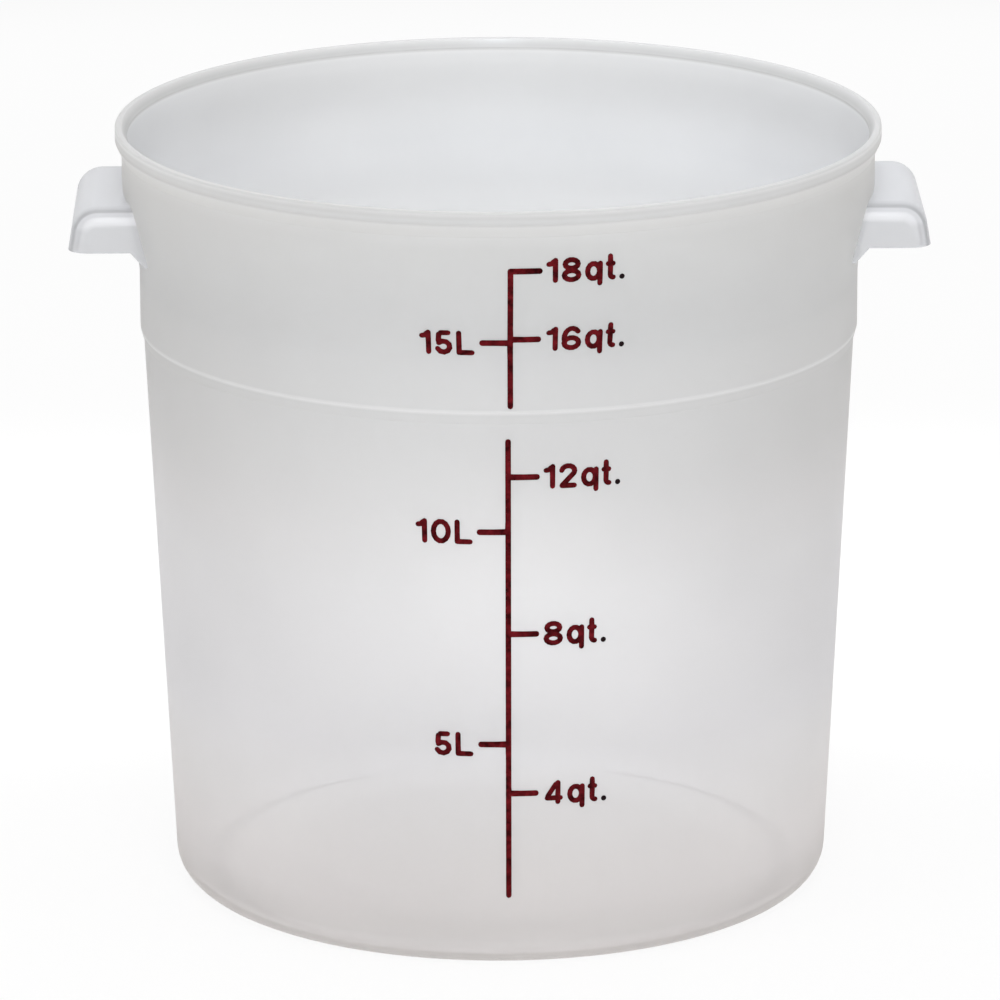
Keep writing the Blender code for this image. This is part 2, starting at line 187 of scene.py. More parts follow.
bpy.ops.mesh.primitive_plane_add(size=FLOOR_SIZE)
floor = bpy.context.object
floor.name = "floor"
paper = bpy.data.materials.new("white_paper")
tree = fresh_tree(paper)
matt = add_node(tree, "ShaderNodeBsdfDiffuse", {"Color": (0.86, 0.86, 0.86, 1)})
glow = add_node(tree, "ShaderNodeEmission", {"Color": (1, 1, 1, 1), "Strength": 1.0})
mix = add_node(tree, "ShaderNodeMixShader")
link(tree, join(tree, "MULTIPLY", background_rays(tree), FLOOR_WHITE_SHARE), mix.inputs[0])
link(tree, matt.outputs[0], mix.inputs[1])
link(tree, glow.outputs[0], mix.inputs[2])
link(tree, mix.outputs[0], add_node(tree, "ShaderNodeOutputMaterial").inputs[0])
floor.data.materials.append(paper)

# %% [markdown]
# ## Studio lamps
#
# A large softbox overhead fills the inside. A softbox high in front and two weaker, warmer ones
# to its sides light the outside, so that its middle is the brightest part. A weak one low behind
# gives the edges a little light. A spot aimed through the mouth lights the back of the inside and
# of the floor. The last two lamps are the photographer's trick for anything translucent: spots on
# the table just behind the tub, which shines through the plastic as a soft glow.

# %% Lamps
TUB_MIDDLE = Vector((0, 0, HEIGHT / 2))
TUB_FOOT = (0, 0, 0.08)
INSIDE_BACK = (0.03, 0.15, 0.09)
MOUTH_RADIUS = 0.175
GLOW_RADIUS = 0.32
GLOW_HEIGHT = 1.6
GLOW_ASIDE = 0.18
GLOW_BEHIND = 0.40
SPOT_SIZE = 0.05
WHITE = (1, 1, 1)
WARM = (1.0, 0.98, 0.94)
COOL = (0.82, 0.91, 1.0)


def lamp(name, kind, place, aim, power, colour):
    """A lamp at a place that points at another."""
    data = bpy.data.lights.new(name, kind)
    data.energy = power
    data.color = colour
    obj = bpy.data.objects.new(name, data)
    bpy.context.scene.collection.objects.link(obj)
    obj.location = place
    obj.rotation_euler = (Vector(aim) - Vector(place)).to_track_quat("-Z", "Y").to_euler()
    return data


def softbox(name, place, size, power, aim=TUB_MIDDLE, colour=WHITE):
    """A lit panel of a width and a height."""
    data = lamp(name, "AREA", place, aim, power, colour)
    data.shape = "RECTANGLE"
    data.size, data.size_y = size


def spot(name, place, aim, power, radius, colour=WHITE):
    """A spot whose light fades out at a radius round the point that it is aimed at."""
    data = lamp(name, "SPOT", place, aim, power, colour)
    data.spot_size = 2 * math.atan(radius / (Vector(aim) - Vector(place)).length)
    data.spot_blend = 1.0
    data.shadow_soft_size = SPOT_SIZE


softbox("overhead", (0, 0.2, 1.9), (1.6, 1.6), 15)
softbox("front_high", (0, -2.0, 1.9), (1.4, 1.0), 26)
softbox("left_front", (-1.9, -1.3, 1.0), (1.0, 1.4), 10.5, colour=WARM)
softbox("right_front", (1.9, -1.3, 0.7), (1.0, 0.8), 7.5, colour=WARM)
softbox("back_low", (0, 1.6, 0.35), (1.6, 0.5), 1.5, aim=TUB_FOOT)
spot("through_the_mouth", (0, -0.9, 1.9), INSIDE_BACK, 72, MOUTH_RADIUS, COOL)
for side in (-GLOW_ASIDE, GLOW_ASIDE):
    above = (side, GLOW_BEHIND, GLOW_HEIGHT)
    spot("table_glow", above, (side, GLOW_BEHIND, 0), 75, GLOW_RADIUS)
print("lamps:", [data.name for data in bpy.data.lights])

# %% [markdown]
# ## The profile of the moulding
#
# A moulded tub is a solid of revolution, so one outline of (radius, height) points says almost
# everything. A mould has no sharp corners: each corner of the outline is listed with the radius
# of its fillet, and a function puts the arc in. Heights run down from the rim where the rim is
# what they belong to.

# %% Sizes of the shell
LIP_DEPTH = 0.0050
LIP_ROUND = 0.0007
LIP_UNDERCUT_DEPTH = 0.0105
UNDERCUT_ROUND = 0.0015
INNER_LIP_DEPTH = 0.0035
INNER_LIP_ROUND = 0.0008
LIP_FLARE = 0.0026
COLLAR_DEPTH = 0.0215
NECK_NARROWING = 0.0065
BAND_DEPTH = 0.0605
STEP_DEPTH = 0.0818
STEP_HEIGHT = 0.0050
STEP_WIDTH = 0.0014
STEP_ROUND = 0.0008
WALL_DRAFT = 0.0102
CORNER_RADIUS = 0.0124
RIM_WIDTH = 0.0027
RIM_ROUND = 0.0009
WALL = 0.0023
BASE = 0.0028
INNER_CORNER = CORNER_RADIUS - WALL
FOOT_RING_WIDTH = 0.0100
FOOT_RECESS = 0.0008
FOOT_RECESS_SLOPE = 0.0010
FOOT_ROUND = 0.0004
COLLAR_RADIUS = RIM_RADIUS - LIP_FLARE
BAND_RADIUS = COLLAR_RADIUS - NECK_NARROWING
STEP_FOOT_RADIUS = BAND_RADIUS - STEP_WIDTH
FOOT_WALL_RADIUS = STEP_FOOT_RADIUS - WALL_DRAFT
RECESS_RADIUS = FOOT_WALL_RADIUS - CORNER_RADIUS - FOOT_RING_WIDTH
STEP_TOP = HEIGHT - STEP_DEPTH
STEP_FOOT = STEP_TOP - STEP_HEIGHT
OUTER_SLOPE = WALL_DRAFT / (STEP_FOOT - CORNER_RADIUS)
INNER_SLOPE = WALL_DRAFT / (STEP_FOOT - BASE - CORNER_RADIUS + WALL)
print(f"radii: collar {COLLAR_RADIUS:.4f}, band {BAND_RADIUS:.4f}, foot {FOOT_WALL_RADIUS:.4f}")

# %% Outline of the shell
FILLET_STEPS = 8
NECK_STEPS = 14


def filleted(corners, steps=FILLET_STEPS):
    """Points of an outline whose corners (x, y, fillet) are rounded by arcs."""
    points = []
    for i, (x, y, fillet) in enumerate(corners):
        here = Vector((x, y))
        if fillet == 0 or i in (0, len(corners) - 1):
            points.append(here)
            continue
        before = (Vector(corners[i - 1][:2]) - here).normalized()
        after = (Vector(corners[i + 1][:2]) - here).normalized()
        half = before.angle(after) / 2
        middle = here + (before + after).normalized() * (fillet / math.sin(half))
        first = here + before * (fillet / math.tan(half)) - middle
        last = here + after * (fillet / math.tan(half)) - middle
        turn = first.angle_signed(last)
        for j in range(steps + 1):
            angle = -turn * j / steps
            cos, sin = math.cos(angle), math.sin(angle)
            points.append(
                middle + Vector((first.x * cos - first.y * sin, first.x * sin + first.y * cos))
            )
    return points


def neck(inset):
    """Corners of the wall that eases in from the collar to the band, from the top down."""
    corners = []
    for i in range(NECK_STEPS + 1):
        share = i / NECK_STEPS
        ease = share * share * (3 - 2 * share)
        radius = COLLAR_RADIUS + (BAND_RADIUS - COLLAR_RADIUS) * ease - inset
        corners.append((radius, HEIGHT - COLLAR_DEPTH - (BAND_DEPTH - COLLAR_DEPTH) * share, 0))
    return corners


def outer_corners():
    """The outside, from the top of the rim down to the foot ring."""
    return [
        (RIM_RADIUS, HEIGHT, RIM_ROUND),
        (RIM_RADIUS, HEIGHT - LIP_DEPTH, LIP_ROUND),
        (COLLAR_RADIUS, HEIGHT - LIP_UNDERCUT_DEPTH, UNDERCUT_ROUND),
        *neck(0),
        (BAND_RADIUS, STEP_TOP, STEP_ROUND),
        (STEP_FOOT_RADIUS, STEP_FOOT, STEP_ROUND),
        (FOOT_WALL_RADIUS - OUTER_SLOPE * CORNER_RADIUS, 0, CORNER_RADIUS),
        (RECESS_RADIUS, 0, FOOT_ROUND),
        (RECESS_RADIUS - FOOT_RECESS_SLOPE, FOOT_RECESS, FOOT_ROUND),
        (0, FOOT_RECESS, 0),
    ]


def inner_corners():
    """The inside, from the middle of the floor up to the top of the rim."""
    return [
        (0, BASE, 0),
        (FOOT_WALL_RADIUS - WALL - INNER_SLOPE * INNER_CORNER, BASE, INNER_CORNER),
        (STEP_FOOT_RADIUS - WALL, STEP_FOOT, STEP_ROUND),
        (BAND_RADIUS - WALL, STEP_TOP, STEP_ROUND),
        *reversed(neck(WALL)),
        (COLLAR_RADIUS - WALL, HEIGHT - INNER_LIP_DEPTH, INNER_LIP_ROUND),
        (RIM_RADIUS - RIM_WIDTH, HEIGHT, RIM_ROUND),
    ]


outline = filleted([*inner_corners(), *outer_corners()])
print(f"outline: {len(outline)} points")

# %% [markdown]
# ## Turning the outline
#
# The outline could be spun with bmesh, but a Screw modifier keeps the number of steps in one
# place. It is then applied, because the grips are joined to the result.

# %% Turn the shell
SEGMENTS = 240
MERGE_DISTANCE = 0.00001


def new_object(name, mesh):
    """An object of a mesh, linked into the scene."""
    obj = bpy.data.objects.new(name, mesh)
    bpy.context.scene.collection.objects.link(obj)
    return obj


def applied(obj, *helpers):
    """The object with its modifiers applied, and the helpers that they used removed."""
    graph = bpy.context.evaluated_depsgraph_get()
    mesh = bpy.data.meshes.new_from_object(obj.evaluated_get(graph))
    obj.modifiers.clear()
    obj.data = mesh
    for helper in helpers:
        bpy.data.objects.remove(helper, do_unlink=True)
    return obj


def turned(name, points):
    """An outline of (radius, height) points turned about Z."""
    mesh = bpy.data.meshes.new(name)
    edges = [(i, i + 1) for i in range(len(points) - 1)]
    mesh.from_pydata([(x, 0, z) for x, z in points], edges, [])
    obj = new_object(name, mesh)
    screw = obj.modifiers.new("turn", "SCREW")
    screw.steps = screw.render_steps = SEGMENTS
    screw.use_merge_vertices = True
    screw.merge_threshold = MERGE_DISTANCE
    return applied(obj)


shell = turned("tub_shell", outline)
print(f"shell: {len(shell.data.polygons)} faces")

# %% [markdown]
# ## The grips
#
# Each grip is a hood: a level top, a rounded shoulder, a skirt that leans out and two end walls,
# open underneath for the fingers. It is cut from a prism whose ends are bevelled, less a smaller
# prism of the same kind, and a small web carries each end wall down into the tub. The grips are
# joined to the shell by a Boolean, as they are one piece of plastic with it. This cell makes the
# two blocks, whose bevelled edges are all but those at the root and underneath.

# %% Blocks of a grip
GRIP_DRAFT = 0.0030
GRIP_LENGTH = 0.0810
GRIP_TOP_DEPTH = 0.0258
GRIP_HEIGHT = 0.0177
GRIP_TOP = HEIGHT - GRIP_TOP_DEPTH
GRIP_FOOT = GRIP_TOP - GRIP_HEIGHT
GRIP_WALL = 0.0026
GRIP_CORNER = 0.0105
GRIP_EDGE_ROUND = 0.0080
GRIP_INNER_ROUND = 0.0054
GRIP_ROOT_DEPTH = 0.0200
GRIP_ROOT = BAND_RADIUS - GRIP_ROOT_DEPTH
HOLLOW_DROP = 0.0100
HOOD_STEPS = 12
EDGE_STEPS = 8


def prism(name, points, low, high):
    """A prism over an outline of (x, z) points, running along Y."""
    shape = bmesh.new()
    face = shape.faces.new([shape.verts.new((x, low, z)) for x, z in points])
    sweep = bmesh.ops.extrude_face_region(shape, geom=[face])
    moved = [item for item in sweep["geom"] if isinstance(item, bmesh.types.BMVert)]
    bmesh.ops.translate(shape, verts=moved, vec=Vector((0, high - low, 0)))
    bmesh.ops.recalc_face_normals(shape, faces=shape.faces)
    mesh = bpy.data.meshes.new(name)
    shape.to_mesh(mesh)
    shape.free()
    return new_object(name, mesh)


def hood(name, inset, drop, rounding):
    """A hood-shaped block, smaller by an inset and longer below by a drop."""
    root = GRIP_ROOT - drop
    corners = [
        (root, GRIP_FOOT - drop, 0),
        (root, GRIP_TOP - inset, 0),
        (GRIP_REACH - GRIP_DRAFT - inset, GRIP_TOP - inset, GRIP_CORNER - inset),
        (GRIP_REACH - inset, GRIP_FOOT, 0),
    ]
    if drop:
        corners.append((GRIP_REACH - inset, GRIP_FOOT - drop, 0))
    half = GRIP_LENGTH / 2 - inset
    block = prism(name, filleted(corners, HOOD_STEPS), -half, half)
    shape = bmesh.new()
    shape.from_mesh(block.data)
    root_side = min(vertex.co.x for vertex in shape.verts)
    underside = min(vertex.co.z for vertex in shape.verts)
    rounded = []
    for edge in shape.edges:
        first, second = (vertex.co for vertex in edge.verts)
        on_root = first.x == second.x == root_side
        on_foot = first.z == second.z == underside
        if first.y == second.y and not on_root and not on_foot:
            rounded.append(edge)
    bmesh.ops.bevel(
        shape, geom=rounded, offset=rounding, segments=EDGE_STEPS, affect="EDGES", profile=0.5
    )
    shape.to_mesh(block.data)
    shape.free()
    return block


# %% [markdown]
# The webs and the wall come next. The grip's root is trimmed with a turned body that fills the
# tub up to the middle of its wall, so that the grip ends inside the wall and not inside the tub.

# %% Join the grips to the shell
WEB_REACH = 0.0055
WEB_DROP = 0.0062
WEB_FOOT = GRIP_FOOT - WEB_DROP


def boolean(obj, other, operation):
    """Adds a Boolean that joins or cuts an object with another."""
    modifier = obj.modifiers.new(other.name, "BOOLEAN")
    modifier.operation = operation
    modifier.object = other
    modifier.solver = "EXACT"


def wall_radius(height):
    """The radius of the outer wall at a height."""
    for upper, lower in zip(outer_points, outer_points[1:]):
        if lower.y <= height <= upper.y and upper.y > lower.y:
            return lower.x + (upper.x - lower.x) * (height - lower.y) / (upper.y - lower.y)
    return FOOT_WALL_RADIUS


def web(name, side):
    """The small web under one end wall."""
    root = math.sqrt(wall_radius(GRIP_FOOT) ** 2 - (GRIP_LENGTH / 2) ** 2)
    points = [
        (root - WALL, WEB_FOOT),
        (root, WEB_FOOT),
        (root + WEB_REACH, GRIP_FOOT),
        (root + WEB_REACH, GRIP_FOOT + WALL),
        (root - WALL, GRIP_FOOT + WALL),
    ]
    edges = (side * GRIP_LENGTH / 2, side * (GRIP_LENGTH / 2 - GRIP_WALL))
    return prism(name, points, min(edges), max(edges))


outer_points = filleted([(RIM_RADIUS - RIM_WIDTH, HEIGHT, 0), *outer_corners()])
middle = [Vector((point.x + WALL / 2, point.y)) for point in reversed(filleted(inner_corners()))]
middle = [point for point in middle if HEIGHT - LIP_DEPTH > point.y > BASE + CORNER_RADIUS]
trim_points = [Vector((0, middle[0].y)), *middle, Vector((0, middle[-1].y))]
for name, turn in (("grip_right", 0), ("grip_left", math.pi)):
    grip = hood(name, 0, 0, GRIP_EDGE_ROUND)
    helpers = [
        hood("hollow", GRIP_WALL, HOLLOW_DROP, GRIP_INNER_ROUND),
        web("web_front", -1),
        web("web_back", 1),
        turned("trim", trim_points),
    ]
    for helper, operation in zip(helpers, ("DIFFERENCE", "UNION", "UNION", "DIFFERENCE")):
        boolean(grip, helper, operation)
    applied(grip, *helpers)
    grip.rotation_euler.z = turn
    boolean(shell, grip, "UNION")
    bpy.context.view_layer.update()
    applied(shell, grip)
print(f"shell with grips: {len(shell.data.polygons)} faces")

# %% [markdown]
# ## Smooth shading
#
# The shell is shaded smooth, with the real edges kept crisp: where a grip meets the wall the
# angle is large, and there the shading is split.

# %% Shade and seat the shell
SHARP_ANGLE = math.radians(32)

shell.data.shade_smooth()
shell.data.set_sharp_from_angle(angle=SHARP_ANGLE)
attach(shell, "root")
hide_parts("tub")
print(f"{sum(edge.use_edge_sharp for edge in shell.data.edges)} crisp edges")

# %% [markdown]
# ## The ink
#
# The print is a film a few hundredths of a millimetre thick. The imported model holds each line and
# each character as a slab that stands clear of the wall, so each is copied, and the copy is drawn
# down onto the shell: the face next to the wall goes to 0.02 mm off it, the outer face to 0.08 mm.
# It is sliced first, so that a tick follows the curve of the wall. Wet ink spreads a little, so
# the edges of each patch are moved out too, the lines more than the characters. The free ends of
# the ticks are drawn in a little, to the length that the photograph shows.

# %% Spread and slice a patch of ink
INK_INNER = 0.00002
INK_OUTER = 0.00008
INK_MIDDLE = 0.00045
FILM_STEP = 0.0020
LINE_SPREAD = 0.00030
GLYPH_SPREAD = 0.00016
LINE_HALF = 0.0010
TICK_SHARE = 0.90
SIDEWAYS = 0.5
LEAST_MITRE = 0.6


def edge_normal(vertex):
    """The way along the wall in which the ink's edge faces at a vertex."""
    outward = Vector((vertex.co.x, vertex.co.y, 0)).normalized()
    ways = [face.normal for face in vertex.link_faces if abs(face.normal.dot(outward)) < SIDEWAYS]
    total = sum(ways, Vector())
    total -= outward * total.dot(outward)
    if total.length == 0:
        return total
    way = total.normalized()
    return way / max(LEAST_MITRE, min(way.dot(other) for other in ways))


def slice_across(shape, way):
    """Cuts a mesh at even steps along a way, so that it can follow the wall."""
    reaches = [vertex.co.dot(way) for vertex in shape.verts]
    cut = min(reaches) + FILM_STEP
    while cut < max(reaches):
        parts = [*shape.verts, *shape.edges, *shape.faces]
        bmesh.ops.bisect_plane(shape, geom=parts, plane_co=way * cut, plane_no=way)
        cut += FILM_STEP


def shorten_ticks(shape):
    """Draws the free ends of the ticks a little towards their line."""
    lowest = min(vertex.co.z for vertex in shape.verts)
    foot = [vertex.co.x for vertex in shape.verts if vertex.co.z < lowest + LINE_HALF]
    line = (min(foot) + max(foot)) / 2
    for vertex in shape.verts:
        reach = abs(vertex.co.x - line) - LINE_HALF
        if reach > 0:
            vertex.co.x = line + math.copysign(LINE_HALF + reach * TICK_SHARE, vertex.co.x - line)


# %% Lay the ink on the wall
def film_mesh(name, slab):
    """A slab of ink drawn down to a thin film on the wall and spread a little at its edges."""
    is_line = name.startswith("scale_line")
    spread = LINE_SPREAD if is_line else GLYPH_SPREAD
    shape = bmesh.new()
    shape.from_mesh(slab)
    bmesh.ops.remove_doubles(shape, verts=shape.verts, dist=INK_INNER)
    shape.normal_update()
    moves = [edge_normal(vertex) * spread for vertex in shape.verts]
    for vertex, move in zip(shape.verts, moves):
        vertex.co += move
    if is_line:
        shorten_ticks(shape)
    slice_across(shape, Vector((1, 0, 0)))
    slice_across(shape, Vector((0, 0, 1)))
    for vertex in shape.verts:
        across = math.atan2(vertex.co.x, -vertex.co.y)
        wall = wall_radius(vertex.co.z)
        outside = math.hypot(vertex.co.x, vertex.co.y) > wall + INK_MIDDLE
        radius = wall + (INK_OUTER if outside else INK_INNER)
        vertex.co.x = radius * math.sin(across)
        vertex.co.y = -radius * math.cos(across)
    mesh = bpy.data.meshes.new(name)
    shape.to_mesh(mesh)
    shape.free()
    return mesh


ink_pieces = []
for node in sorted(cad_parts):
    if node == "tub":
        continue
    film = new_object(node + "_film", film_mesh(node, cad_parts[node].data))
    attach(film, "root")
    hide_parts(node)
    ink_pieces.append(film)
print(f"{len(ink_pieces)} patches of ink")

# %% [markdown]
# ## The plastic
#
# Polypropylene is milky: part of the light is thrown back, part is scattered through to the other
# side, and part passes straight through, which is why the far edge of the floor shows faintly
# through the front wall. A full volume simulation would be slow and noisy. Instead each face of
# the wall mixes a plain surface, a Translucent shader and a Transparent shader. Seen at a low
# angle the light has more plastic to cross, so Layer Weight takes the clear share away there.
#
# The milkiness isn't even: the clear share is larger low on the wall than near the collar. Ramps
# over the height also paint light and shade into the tint: a paler lower half as a painted glow, a
# darker upper wall as painted shade, and fine painted highlights and dark lines at the step and
# under the rim.

# %% Node pieces of the plastic
def grey(value):
    """A colour with no hue."""
    return (value, value, value)


def ramp_over(tree, value, stops):
    """A colour ramp over a value, from a list of (position, colour)."""
    ramp = add_node(tree, "ShaderNodeValToRGB")
    elements = ramp.color_ramp.elements
    while len(elements) < len(stops):
        elements.new(0.5)
    for element, (position, colour) in zip(elements, stops):
        element.position = position
        element.color = (*colour, 1)
    link(tree, value, ramp.inputs[0])
    return ramp.outputs[0]


def times(tree, first, second):
    """The product of two colours."""
    node = add_node(tree, "ShaderNodeVectorMath", operation="MULTIPLY")
    link(tree, first, node.inputs[0])
    link(tree, second, node.inputs[1])
    return node.outputs[0]


# %% [markdown]
# The next pieces say where a point is: how far up the wall, how far out on the floor, or how far
# round the edge of a grip. The floor's tint has a painted dark ring at its edge, a painted shade
# along the corner round the floor that shows from outside. It fades out at the back of the tub, so
# the distance is shortened there by a ramp over |x|.

# %% Places on the tub
FLOOR_RADIUS = FOOT_WALL_RADIUS - WALL - INNER_CORNER
# Narrows the painted dark ring towards the back, by |x|.
PAINTED_RING_NARROWING = [
    (0.030, grey(0.070)),
    (0.060, grey(0.044)),
    (0.085, grey(0.040)),
    (0.100, grey(0.015)),
    (0.115, grey(0.0)),
]


def height_share(tree, place):
    """How far up the tub a point is, from 0 to 1."""
    parts = add_node(tree, "ShaderNodeSeparateXYZ")
    link(tree, place, parts.inputs[0])
    return join(tree, "DIVIDE", parts.outputs[2], HEIGHT)


def radius_share(tree, place):
    """How far out a point of the floor is, from 0 to 1, less the narrowing of its painted dark
    ring.
    """
    flat = add_node(tree, "ShaderNodeVectorMath", {1: (1, 1, 0)}, operation="MULTIPLY")
    link(tree, place, flat.inputs[0])
    length = add_node(tree, "ShaderNodeVectorMath", operation="LENGTH")
    link(tree, flat.outputs[0], length.inputs[0])
    share = join(tree, "DIVIDE", length.outputs["Value"], FLOOR_RADIUS)
    parts = add_node(tree, "ShaderNodeSeparateXYZ")
    link(tree, place, parts.inputs[0])
    aside = join(tree, "ABSOLUTE", parts.outputs[0], 0.0)
    return join(tree, "SUBTRACT", share, ramp_over(tree, aside, PAINTED_RING_NARROWING))


def rounded_edge(tree):
    """How far an edge of a grip has turned to the ends (0 to 1), and how far its face looks up,
    which place the painted crease and highlight.
    """
    parts = add_node(tree, "ShaderNodeSeparateXYZ")
    link(tree, add_node(tree, "ShaderNodeNewGeometry").outputs["Normal"], parts.inputs[0])
    return join(tree, "ABSOLUTE", parts.outputs[1], 0.0), parts.outputs[2]


# %% [markdown]
# Now the plastic itself. A soft noise clouds its tint, a fine one gives the skin its grain, and
# on the grips a painted dark crease and a painted highlight band follow their rounded edges.

# %% Milky plastic
THROUGH_SHARE = 0.50
CLEAR_LOW = 0.60
CLEAR_HIGH = 0.46
# Where a grip's face looks up, the painted crease and highlight take over from the painted shade of
# its upright faces.
FACING_UP = [(0.04, grey(0)), (0.26, grey(1))]


def milky_plastic(name, stops, roughness, edges=None, across=height_share):
    """Milky polypropylene: a scattering skin mixed with a clear share that fades at low angles."""
    made = bpy.data.materials.new(name)
    tree = fresh_tree(made)
    place = add_node(tree, "ShaderNodeTexCoord").outputs["Object"]
    height = height_share(tree, place)
    clouds = add_node(tree, "ShaderNodeTexNoise", {"Scale": 9.0, "Detail": 3.0, "Roughness": 0.5})
    link(tree, place, clouds.inputs["Vector"])
    shade = ramp_over(tree, clouds.outputs["Fac"], [(0.35, grey(0.96)), (0.70, grey(1.0))])
    # The stops paint light and shade into the tint by height, or by distance out on the floor.
    tint = times(tree, ramp_over(tree, across(tree, place), stops), shade)
    most = add_node(tree, "ShaderNodeMapRange", {"To Min": CLEAR_LOW, "To Max": CLEAR_HIGH})
    link(tree, height, most.inputs["Value"])
    facing = add_node(tree, "ShaderNodeLayerWeight", {"Blend": 0.5}).outputs["Facing"]
    clarity = join(tree, "MULTIPLY", most.outputs[0], join(tree, "SUBTRACT", 1.0, facing))
    # On the grips the normal places painted shade and a painted dark crease with a painted
    # highlight band along the rounded edges.
    if edges:
        turn, up = rounded_edge(tree)
        level = ramp_over(tree, turn, edges["upright"])
        crown = ramp_over(tree, turn, edges["crown"])
        look = add_node(tree, "ShaderNodeMix", data_type="RGBA")
        link(tree, ramp_over(tree, up, FACING_UP), look.inputs["Factor"])
        link(tree, level, look.inputs[6])
        link(tree, crown, look.inputs[7])
        tint = times(tree, tint, look.outputs[2])
        clarity = join(tree, "MULTIPLY", clarity, ramp_over(tree, turn, edges["clear"]))
    grain = add_node(tree, "ShaderNodeTexNoise", {"Scale": 900.0, "Detail": 2.0})
    link(tree, place, grain.inputs["Vector"])
    bump = add_node(tree, "ShaderNodeBump", {"Strength": 0.08, "Distance": 0.0001})
    link(tree, grain.outputs["Fac"], bump.inputs["Height"])
    surface = add_node(tree, "ShaderNodeBsdfPrincipled", {"Roughness": roughness, "IOR": 1.49})
    through = add_node(tree, "ShaderNodeBsdfTranslucent")
    for shader in (surface, through):
        link(tree, tint, shader.inputs[0])
        link(tree, bump.outputs[0], shader.inputs["Normal"])
    body = add_node(tree, "ShaderNodeMixShader", {0: THROUGH_SHARE})
    link(tree, surface.outputs[0], body.inputs[1])
    link(tree, through.outputs[0], body.inputs[2])
    clear = add_node(tree, "ShaderNodeBsdfTransparent", {"Color": (1, 1, 1, 1)})
    skin = add_node(tree, "ShaderNodeMixShader")
    link(tree, clarity, skin.inputs[0])
    link(tree, body.outputs[0], skin.inputs[1])
    link(tree, clear.outputs[0], skin.inputs[2])
    link(tree, skin.outputs[0], add_node(tree, "ShaderNodeOutputMaterial").inputs[0])
    return made


# %% [markdown]
# ## Four finishes of one plastic
#
# The outside has a satin finish, the inside is smoother and the grips are polished. The tints that
# set them apart are painted light: the outside a little warm, the inside and the grips cooler. The
# floor is thicker than the wall. Its tint is painted warmer still, paler towards its edge, with a
# painted dark ring at the edge that shows from outside. The outside's ramp paints fine highlights
# with dark lines beside them along the step, under the lip and on the rim. Where an edge of a grip
# rounds over, a dark crease with a bright band beside it is painted as shade and highlight. The
# normal says how far the edge has turned, so the bands follow the edge.

# %% Tints of the outside
def share_of(height):
    """A height as a share of the tub's."""
    return height / HEIGHT


WALL_HIGH = (0.755, 0.745, 0.725)
WALL_AT_STEP = (0.70, 0.69, 0.68)
PAINTED_STEP_HIGHLIGHT = (0.87, 0.865, 0.855)
# Painted light and shade over the height: darker at the foot as painted shade, a paler lower half
# as a painted glow and a darker upper wall.
OUTSIDE_STOPS = [
    (0.00, (0.755, 0.725, 0.705)),
    (0.04, (0.79, 0.76, 0.74)),
    (0.08, (0.87, 0.84, 0.825)),
    (0.13, (0.895, 0.87, 0.855)),
    (0.19, (0.895, 0.88, 0.87)),
    (0.25, (0.88, 0.87, 0.87)),
    (0.29, (0.855, 0.847, 0.855)),
    (0.34, (0.84, 0.833, 0.84)),
    (0.42, (0.855, 0.845, 0.85)),
    (0.50, (0.85, 0.84, 0.84)),
    (0.56, (0.82, 0.805, 0.80)),
    (0.65, (0.74, 0.73, 0.72)),
    # Round the step: a painted dark line and a painted highlight along its top.
    (share_of(STEP_TOP - 0.0060), (0.69, 0.68, 0.67)),
    (share_of(STEP_TOP - 0.0016), WALL_AT_STEP),
    (share_of(STEP_TOP - 0.0006), (0.65, 0.64, 0.63)),
    (share_of(STEP_TOP - 0.0001), PAINTED_STEP_HIGHLIGHT),
    (share_of(STEP_TOP + 0.0006), PAINTED_STEP_HIGHLIGHT),
    (share_of(STEP_TOP + 0.0010), WALL_AT_STEP),
    (0.81, (0.685, 0.68, 0.67)),
    (0.88, (0.735, 0.73, 0.715)),
    (share_of(HEIGHT - 0.0150), WALL_HIGH),
    # Under the lip a painted highlight, then a painted dark line at its lower edge, then a painted
    # highlight on the rounded rim.
    (share_of(HEIGHT - LIP_DEPTH - 0.0030), (0.825, 0.815, 0.795)),
    (share_of(HEIGHT - LIP_DEPTH - 0.0010), (0.86, 0.85, 0.835)),
    (share_of(HEIGHT - LIP_DEPTH - 0.0005), (0.70, 0.69, 0.68)),
    (share_of(HEIGHT - LIP_DEPTH + 0.0002), (0.70, 0.69, 0.68)),
    (share_of(HEIGHT - LIP_DEPTH + 0.0008), (0.775, 0.77, 0.76)),
    (share_of(HEIGHT - 0.0018), (0.78, 0.775, 0.77)),
    (share_of(HEIGHT - 0.0013), (0.93, 0.93, 0.925)),
    (share_of(HEIGHT - 0.0009), (0.93, 0.93, 0.925)),
    (share_of(HEIGHT - 0.0005), (0.78, 0.78, 0.775)),
]
print(f"outside: {len(OUTSIDE_STOPS)} stops from the foot to the rim")

